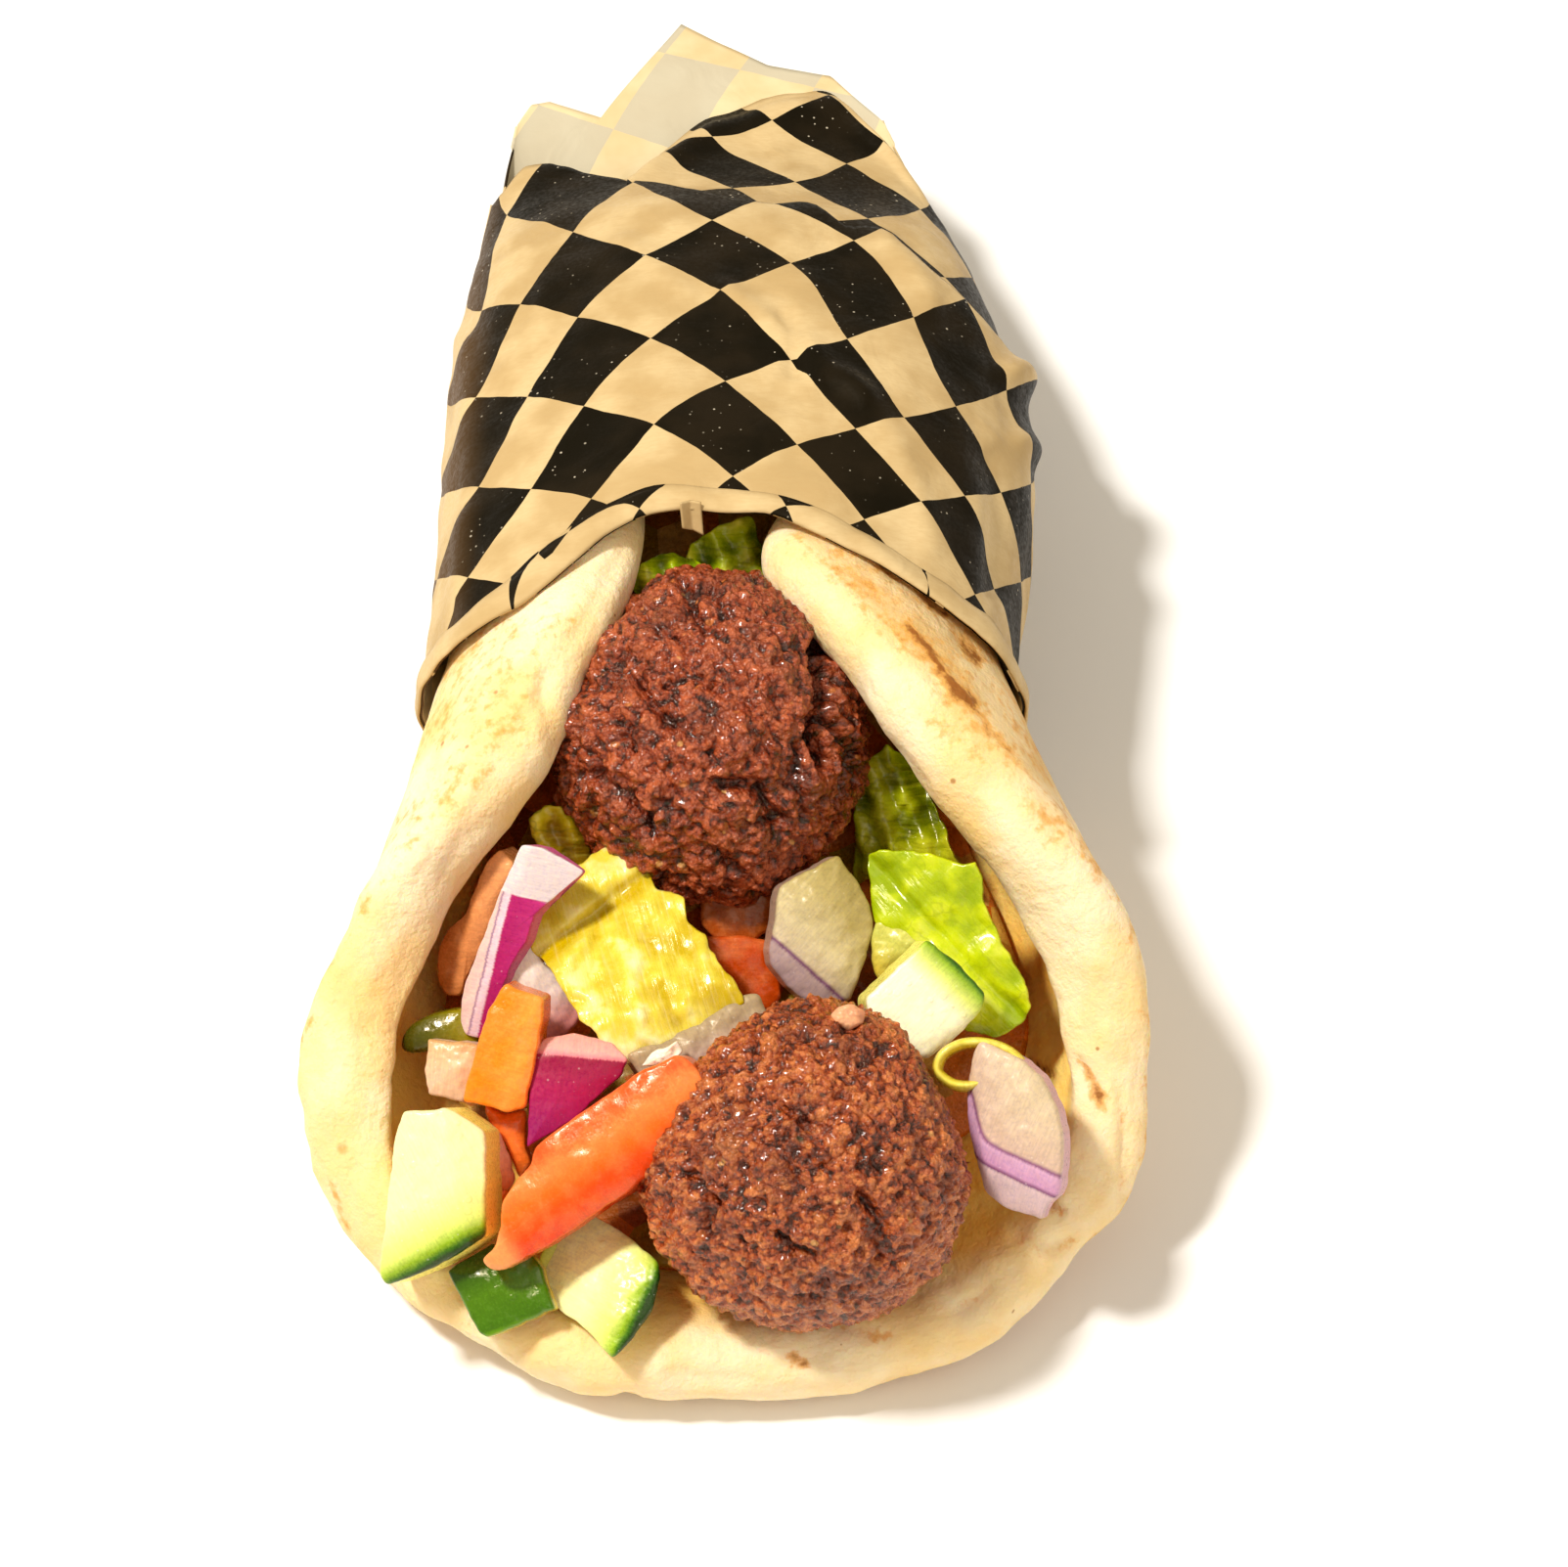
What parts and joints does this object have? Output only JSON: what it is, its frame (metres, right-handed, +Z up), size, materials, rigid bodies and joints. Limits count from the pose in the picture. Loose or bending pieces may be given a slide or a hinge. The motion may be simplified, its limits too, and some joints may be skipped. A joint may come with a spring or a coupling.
{
  "type": "falafel pita",
  "caption": "Round flatbread curled round falafels and chopped salad, its back half rolled in a sheet of checked paper with a torn tail.",
  "frame": {"origin": "middle of the footprint, on the surface that the wrap lies on", "axes": "+Y from the open mouth of the bread to the paper tail, +Z up, +X to the right seen from the mouth"},
  "size_m": [0.1162, 0.2494, 0.0635],
  "materials": {
    "bread": "matte",
    "paper": "satin",
    "falafel": "satin",
    "tomato": "gloss",
    "cucumber": "gloss",
    "onion": "gloss",
    "pepper": "gloss",
    "pickle": "gloss",
    "lettuce": "gloss",
    "salad": "satin"
  },
  "bodies": {
    "root": {"bread": "bread", "wrapper": "paper", "falafel_back": "falafel", "falafel_front": "falafel", "salad_bed": "salad", "cucumber_left": "cucumber", "cucumber_right": "cucumber", "cucumber_low": "cucumber", "cucumber_back": "cucumber", "gherkin": "pickle", "lettuce_heart": "lettuce", "lettuce_curl": "lettuce", "lettuce_lime": "lettuce", "lettuce_dark": "lettuce", "lettuce_small": "lettuce", "lettuce_top_left": "lettuce", "lettuce_top_right": "lettuce", "onion_front_right": "onion", "onion_magenta": "onion", "onion_strip": "onion", "onion_middle": "onion", "onion_back_right": "onion", "onion_pale": "onion", "onion_block": "onion", "onion_low": "onion", "onion_chip": "onion", "onion_chip_front": "onion", "pepper": "pepper", "tomato_strip": "tomato", "tomato_wedge": "tomato", "tomato_left": "tomato", "tomato_back": "tomato", "tomato_middle": "tomato", "tomato_red_bit": "tomato", "tomato_left_bit": "tomato", "tomato_low_bit": "tomato"}
  },
  "joints": []
}
